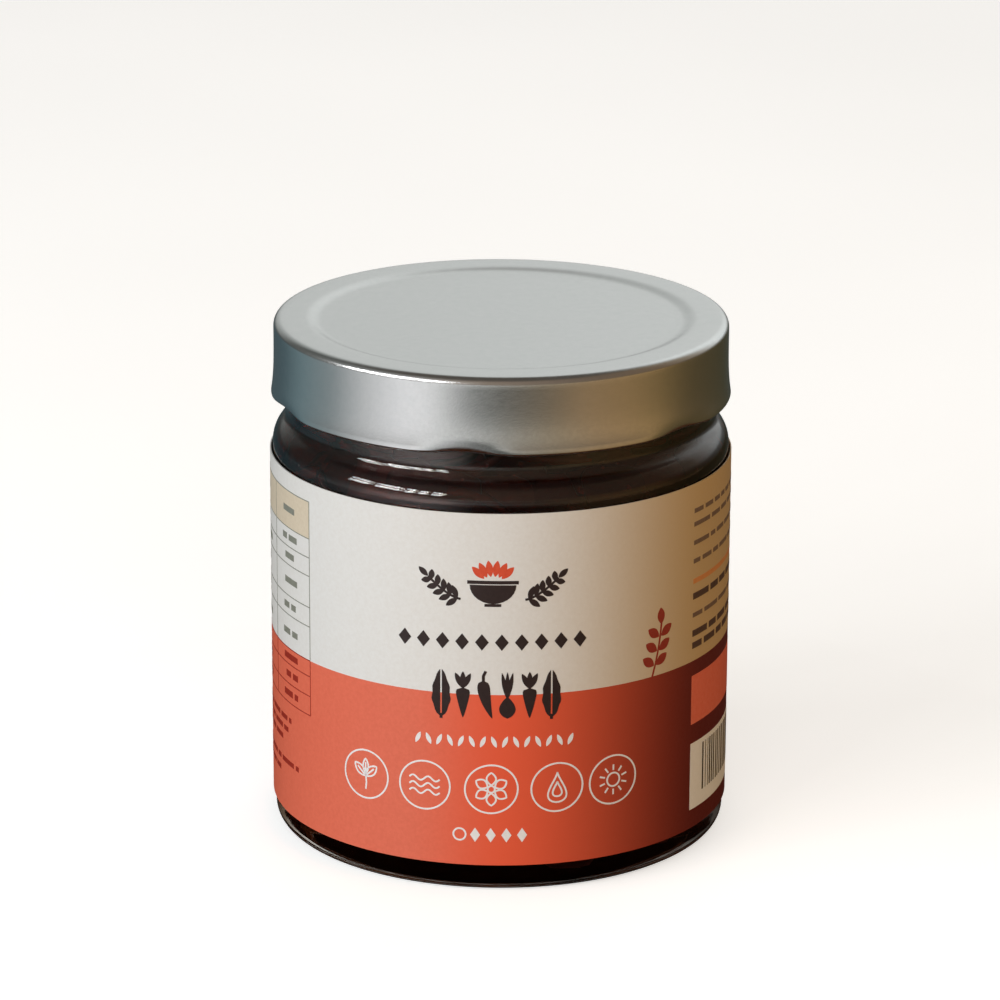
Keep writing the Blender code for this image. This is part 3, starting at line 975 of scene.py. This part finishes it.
def brine_material():
    material, nodes, shader = new_material("brine")
    nodes.put(shader, {
        "Transmission Weight": 1.0,
        "IOR": 1.34,
        "Roughness": 0.0,
        "Base Color": nodes.shades(nodes.noise(60.0), (250, 232, 224), (252, 240, 234)),
    })
    depth = nodes.add("ShaderNodeVolumeAbsorption")
    nodes.put(depth, {"Color": srgb(196, 84, 60), "Density": BRINE_ABSORPTION})
    output = [n for n in nodes.tree.nodes if n.type == "OUTPUT_MATERIAL"][0]
    nodes.link(depth.outputs["Volume"], output.inputs["Volume"])
    return material


def build_brine():
    """The liquid round the pieces. It reaches just into the glass, so that no air gap shows."""
    level = KIMCHI_LEVEL - BRINE_DROP
    side = [(r, z) for r, z in inner_wall(BRINE_REACH) if z < level]
    profile = side + [(side[-1][0], level), (side[-1][0] * 0.5, level), (0.0, level)]
    mesh = turned_mesh("brine", subdivided(profile, GLASS_STEP), GLASS_SIDES)
    new_piece("brine", mesh, brine_material())


def food_material(name, shades, roughness, bump_scale, bump_depth):
    """Wet food: shades run from the darkest to the lightest, picked by piece and by a noise."""
    material, nodes, shader = new_material(name)
    tint = nodes.add("ShaderNodeAttribute", attribute_name="tint").outputs["Fac"]
    patch = nodes.noise(220.0, 4.0, 0.6)
    value = nodes.math("ADD", nodes.math("MULTIPLY", tint, 0.6), nodes.math("MULTIPLY", patch, 0.5))
    stops = [(index / (len(shades) - 1), srgb(*shade)) for index, shade in enumerate(shades)]
    nodes.put(shader, {
        "Base Color": nodes.ramp(value, stops),
        "Roughness": roughness,
        "Normal": nodes.bump(nodes.noise(bump_scale), bump_depth, 0.6),
    })
    return material


def food_piece(name, heap, material):
    return new_piece(name, mesh_from(heap, name, 60.0), material)


def wall_point(around, z, depth):
    """A point this deep in the heap, counted from where it presses against the glass."""
    nearest = min(inner_radius(z + step * MM) for step in (-1.0, 0.0, 1.0))
    return on_cylinder(nearest - PIECE_CLEARANCE - depth, around, z)


def floor_point(x, y, depth):
    """A point this high in the heap, counted from where it rests on the floor of the jar."""
    return Vector((x, y, floor_height(math.hypot(x, y)) + PIECE_CLEARANCE + depth))


def thin_solid(bm, rows, columns, point, tint):
    """Adds a thin closed solid to bm from point(row share, column share, side)."""
    layer = bm.verts.layers.float["tint"]

    def new_line(row, side):
        line = [bm.verts.new(point(row, column, side)) for column in shares(columns)]
        for vertex in line:
            vertex[layer] = tint
        return line

    grids = [[new_line(row, side) for row in shares(rows)] for side in (0, 1)]
    for grid in grids:
        for row in range(rows):
            for column in range(columns):
                near = (grid[row][column], grid[row][column + 1])
                bm.faces.new((*near, grid[row + 1][column + 1], grid[row + 1][column]))
    around = [(0, column) for column in range(columns)]
    around += [(row, columns) for row in range(rows)]
    around += [(rows, column) for column in range(columns, 0, -1)]
    around += [(row, 0) for row in range(rows, 0, -1)]
    front, back = grids
    for (r1, c1), (r2, c2) in zip(around, around[1:] + around[:1]):
        bm.faces.new((front[r1][c1], back[r1][c1], back[r2][c2], front[r2][c2]))


def add_leaf(bm, place, width, height, turn, draw):
    """A wavy, thin piece of cabbage leaf with an uneven outline and a thicker rib."""
    seed = Vector((draw.uniform(0.0, 90.0), draw.uniform(0.0, 90.0), 0.0))
    thickness = draw.uniform(0.5, 0.9) * MM
    base_depth = draw.uniform(0.0, 1.3) * MM
    wave = draw.uniform(0.3, 0.9) * MM

    def point(row, column, side):
        across = column * 2.0 - 1.0
        up = row * 2.0 - 1.0
        squeeze = math.sqrt(max(0.0, 1.0 - 0.72 * up**4))
        ragged = 1.0 + 0.22 * noise.noise(seed + Vector((across * 1.5, up * 1.5, 3.0)))
        x = across * width / 2.0 * squeeze * ragged
        x, y = turned_flat(x, up * height / 2.0 * ragged, turn)
        fold = 0.5 + 0.5 * noise.noise(seed + Vector((across * 1.8, up * 1.4, 9.0)))
        rib = 0.6 * MM * math.exp(-((across / 0.22) ** 2))
        return place(x, y, base_depth + wave * fold + side * (thickness + rib))

    thin_solid(bm, 7, 9, point, draw.random())


def add_stick(bm, place, length, width, turn, draw):
    """A bowed julienne strip."""
    bow = draw.uniform(-1.6, 1.6) * MM
    thickness = draw.uniform(1.1, 1.7) * MM
    base_depth = draw.uniform(0.0, 0.5) * MM

    def point(row, column, side):
        share = row * 2.0 - 1.0
        taper = 1.0 - 0.35 * share**8
        across = (column - 0.5) * width * taper + bow * (1.0 - share**2)
        x, y = turned_flat(share * length / 2.0, across, turn)
        round_off = 0.25 * width * (column * 2.0 - 1.0) ** 2
        return place(x, y, base_depth + round_off * (1 - side) + side * (thickness - round_off))

    thin_solid(bm, 10, 4, point, draw.random())


def add_flake(bm, place, size, turn, draw):
    """A small flake of dried chilli."""
    ragged = [draw.uniform(0.6, 1.0) for _ in range(3)]

    def point(row, column, side):
        share = ragged[round(row * 2.0)]
        x = (column - 0.5) * size * share
        y = (row - 0.5) * size * 0.8
        return place(*turned_flat(x, y, turn), 0.05 * MM + side * 0.25 * MM)

    thin_solid(bm, 2, 2, point, draw.random())


def new_heap():
    bm = bmesh.new()
    bm.verts.layers.float.new("tint")
    return bm


def wall_places(bottom, top, spacing, sway, draw):
    """Evenly scattered (around, z) places on the wall, in staggered rows."""
    rows = round((top - bottom) / spacing)
    for row in range(rows + 1):
        z = bottom + (top - bottom) * row / rows
        count = round(2.0 * math.pi * inner_radius(z) / (spacing * 1.5))
        for step in range(count):
            around = 2.0 * math.pi * (step + 0.5 * (row % 2)) / count
            around += draw.uniform(-sway, sway) / inner_radius(z)
            yield around, z + draw.uniform(-sway, sway) * 0.5


def on_wall(around, z):
    """From a piece's own x, y and depth to points round this place."""
    def place(x, y, depth):
        return wall_point(around + x / inner_radius(z), z + y, depth)

    return place


def on_floor(x0, y0):
    def place(x, y, depth):
        return floor_point(x0 + x, y0 + y, depth)

    return place


def floor_places(spacing, draw):
    reach = FLOOR_FLAT_RADIUS - 2.0 * MM
    ring_count = round(reach / spacing)
    for ring in range(1, ring_count + 1):
        r = reach * ring / ring_count
        count = round(2.0 * math.pi * r / spacing)
        for step in range(count):
            angle = 2.0 * math.pi * (step + draw.uniform(-0.3, 0.3)) / count
            yield r * math.cos(angle), r * math.sin(angle)


def build_core(bm, layer_tint):
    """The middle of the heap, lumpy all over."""
    layer = bm.verts.layers.float["tint"]
    level = KIMCHI_LEVEL - CORE_DROP
    bottom = [(0.0, floor_height(0.0) + CORE_INSET)]
    corner = arc(FLOOR_CORNER_CENTRE, FLOOR_CORNER_RADIUS - CORE_INSET, -90.0, 0.0, 5)
    side = [(r - CORE_INSET, z) for r, z in glass_side(GLASS_WALL) if z < level - 1.0 * MM]
    profile = subdivided(bottom + corner + side + [(side[-1][0], level), (0.0, level)], CORE_STEP)

    def new_vertex(around, r, z):
        point = on_cylinder(r, around, z)
        lump = noise.noise(point * 260.0) + 0.5 * noise.noise(point * 620.0)
        away = point.copy()
        away.z = 0.0
        if away.length > 0.0:
            point -= away.normalized() * CORE_LUMPS * (0.6 + lump) * min(1.0, r / (5.0 * MM))
        vertex = bm.verts.new(point)
        vertex[layer] = layer_tint + 0.4 * noise.noise(point * 150.0)
        return vertex

    turn_round(profile, CORE_SIDES, bm, new_vertex)


def build_kimchi():
    draw = random.Random(PIECES_SEED)
    low = 9.0 * MM
    top = KIMCHI_LEVEL - 4.0 * MM

    cabbage = new_heap()
    build_core(cabbage, 0.3)
    for around, z in wall_places(low, top, 7.5 * MM, 3.0 * MM, draw):
        size = (draw.uniform(11.0, 18.0) * MM, draw.uniform(6.5, 10.0) * MM)
        z = min(z, KIMCHI_LEVEL - 6.0 * MM)
        add_leaf(cabbage, on_wall(around, z), *size, draw.uniform(-0.5, 0.5), draw)
    for x, y in floor_places(8.0 * MM, draw):
        size = (draw.uniform(9.0, 12.0) * MM, draw.uniform(6.0, 8.0) * MM)
        add_leaf(cabbage, on_floor(x, y), *size, draw.uniform(0.0, 3.1), draw)
    shades = ((58, 18, 16), (88, 27, 22), (116, 38, 30), (140, 62, 44))
    material = food_material("stained_cabbage", shades, 0.3, 700.0, 0.15 * MM)
    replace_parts(food_piece("kimchi_cabbage", cabbage, material), "kimchi")

    radish = new_heap()
    for around, z in wall_places(low, top, 10.0 * MM, 4.0 * MM, draw):
        length = draw.uniform(9.0, 17.0) * MM
        width = draw.uniform(1.3, 2.2) * MM
        z = min(z, KIMCHI_LEVEL - 5.0 * MM)
        add_stick(radish, on_wall(around, z), length, width, draw.uniform(-0.45, 0.45), draw)
    shades = ((84, 26, 20), (118, 42, 28), (144, 66, 42))
    material = food_material("stained_radish", shades, 0.25, 900.0, 0.08 * MM)
    food_piece("kimchi_radish", radish, material)

    greens = new_heap()
    for around, z in wall_places(low, top, 15.0 * MM, 6.0 * MM, draw):
        length = draw.uniform(8.0, 15.0) * MM
        z = min(z, KIMCHI_LEVEL - 5.0 * MM)
        add_stick(greens, on_wall(around, z), length, 2.6 * MM, draw.uniform(-0.8, 0.8), draw)
    shades = ((30, 27, 16), (46, 40, 22), (64, 56, 32))
    material = food_material("stained_greens", shades, 0.3, 900.0, 0.08 * MM)
    food_piece("kimchi_greens", greens, material)

    chilli = new_heap()
    for around, z in wall_places(7.0 * MM, top, 4.4 * MM, 4.0 * MM, draw):
        size = draw.uniform(0.3, 0.9) * MM
        add_flake(chilli, on_wall(around, z), size, draw.uniform(0.0, 3.1), draw)
    shades = ((70, 18, 12), (110, 28, 16), (168, 56, 28))
    material = food_material("chilli_flakes", shades, 0.35, 900.0, 0.05 * MM)
    food_piece("kimchi_chilli", chilli, material)


def azimuth_stops(stops):
    """Places in degrees round the jar, turned into a ramp's 0 to 1."""
    return [((degrees + 180.0) / 360.0, (*colour, 1.0)) for degrees, *colour in stops]


def build_world():
    """The room round the jar: a bright cool side on the left, a dim warm side on the right."""
    world = bpy.data.worlds.new("room")
    bpy.context.scene.world = world
    world.use_nodes = True
    nodes = Nodes(world.node_tree)
    azimuth, up = nodes.around_and_up(nodes.add("ShaderNodeTexCoord").outputs["Generated"])
    share = nodes.math("MULTIPLY_ADD", azimuth, 1.0 / (2.0 * math.pi))
    share.node.inputs[2].default_value = 0.5
    elevation = nodes.math("MULTIPLY", nodes.math("ARCSINE", up), 180.0 / math.pi)
    far = nodes.spread(elevation, *FAR_TABLE_FROM)
    near_table = nodes.ramp(share, azimuth_stops(ROOM_LEFT + ROOM_NEAR_TABLE))
    far_table = nodes.ramp(share, azimuth_stops(ROOM_LEFT + ROOM_FAR_TABLE))
    low = nodes.mix(far, near_table, far_table)
    high = nodes.ramp(share, azimuth_stops(ROOM_ABOVE))
    room = nodes.mix(nodes.spread(elevation, *ABOVE_FROM), low, high)
    edge = nodes.math("ABSOLUTE", nodes.math("ADD", elevation, TABLE_EDGE_BELOW))
    dark_line = nodes.spread(edge, *TABLE_EDGE_FADE, 0.0, TABLE_EDGE_SHARE)
    room = nodes.mix(dark_line, room, TABLE_EDGE)
    room = nodes.mix(nodes.spread(elevation, *CEILING_FROM), room, CEILING)
    room = nodes.mix(nodes.spread(elevation, *UNDER_JAR_FROM), room, UNDER_JAR)
    background = [n for n in nodes.tree.nodes if n.type == "BACKGROUND"][0]
    nodes.put(background, {"Color": room, "Strength": 1.0})


def direction_to(azimuth_deg, elevation_deg):
    azimuth = math.radians(azimuth_deg)
    elevation = math.radians(elevation_deg)
    level = math.cos(elevation)
    return Vector((level * math.sin(azimuth), -level * math.cos(azimuth), math.sin(elevation)))


def area_light(name, azimuth_deg, elevation_deg, width_deg, height_deg, radiance, colour):
    """A soft rectangular light seen from the jar at these angles, as bright as radiance says."""
    data = bpy.data.lights.new(name, "AREA")
    data.shape = "RECTANGLE"
    data.size = LIGHT_DISTANCE * math.radians(width_deg)
    data.size_y = LIGHT_DISTANCE * math.radians(height_deg)
    data.energy = radiance * math.pi * data.size * data.size_y
    data.color = colour
    light = into_scene(name, data)
    towards = direction_to(azimuth_deg, elevation_deg)
    light.location = Vector((0.0, 0.0, LABEL_TOP)) + towards * LIGHT_DISTANCE
    light.rotation_euler = towards.to_track_quat("Z", "Y").to_euler()
    return light


def build_lights():
    """A window of two rows of panes, front left, and fills that light only what is matt."""
    for index, (azimuth, width, radiance) in enumerate(WINDOW_PANES):
        for row, (elevation, height) in enumerate(WINDOW_ROWS):
            name = f"pane_{index}_{row}"
            area_light(name, azimuth, elevation, width, height, radiance, WINDOW_COLOUR)
    for index, (azimuth, radiance, colour) in enumerate(FILLS):
        fill = area_light(f"fill_{index}", azimuth, *FILL_SHAPE_DEG, radiance, colour)
        fill.visible_glossy = False
        fill.visible_transmission = False


def build_floor():
    bm = bmesh.new()
    bmesh.ops.create_circle(bm, cap_ends=True, segments=96, radius=6.0)
    mesh = mesh_from(bm, "floor")
    material, nodes, shader = new_material("pale_floor")
    colour = nodes.shades(nodes.noise(3.0, 2.0), (246, 246, 245), (250, 250, 249))
    nodes.put(shader, {"Base Color": colour, "Roughness": 0.8})
    nodes.put(shader, {"Emission Color": colour, "Emission Strength": 0.6})
    mesh.materials.append(material)
    floor = into_scene("floor", mesh)
    floor.visible_glossy = False
    floor.visible_diffuse = False
    floor.visible_transmission = False
    floor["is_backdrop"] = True


def build_table_spot():
    """A dark disc with a raised rim, painted shade that stands in for the table close round the jar
    in the jar's shadow, as its glass shows it. The camera doesn't see it.
    """
    bm = bmesh.new()
    made = bmesh.ops.create_circle(bm, cap_ends=True, segments=64, radius=TABLE_SPOT_RADIUS)
    edges = [edge for edge in bm.edges if edge.is_boundary]
    raised = bmesh.ops.extrude_edge_only(bm, edges=edges)["geom"]
    for vertex in made["verts"]:
        vertex.co.z = -TABLE_SPOT_DEPTH
    for item in raised:
        if isinstance(item, bmesh.types.BMVert):
            item.co.z = TABLE_SPOT_RIM
    mesh = mesh_from(bm, "table_shade_spot")
    material, nodes, shader = new_material("painted_table_shade")
    # Painted shade: dark brown for the table in the jar's shadow.
    colour = nodes.shades(nodes.noise(40.0), (84, 50, 34), (104, 64, 42))
    nodes.put(shader, {"Base Color": colour, "Roughness": 1.0, "Specular IOR Level": 0.0})
    mesh.materials.append(material)
    spot = into_scene("table_shade_spot", mesh)
    spot.visible_camera = False
    spot.visible_diffuse = False
    spot.visible_shadow = False
    spot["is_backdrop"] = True


def build_camera():
    data = bpy.data.cameras.new("camera")
    data.lens = FOCAL_LENGTH_MM
    data.sensor_width = 36.0
    camera = into_scene("camera", data)
    tilt = Matrix.Rotation(math.radians(90.0 - CAMERA_DOWN_DEG), 4, "X")
    roll = Matrix.Rotation(math.radians(CAMERA_ROLL_DEG), 4, "Z")
    camera.matrix_world = Matrix.Translation(CAMERA_PLACE) @ tilt @ roll
    bpy.context.scene.camera = camera


build_camera()
build_world()
build_lights()
build_floor()
build_table_spot()
build_glass()
build_lid()
build_label()
build_print()
build_brine()
build_kimchi()

bpy.context.scene.view_settings.view_transform = "Standard"

for key, box in (("cad", cad_box), ("visual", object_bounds())):
    [[float(value) for value in corner] for corner in box]
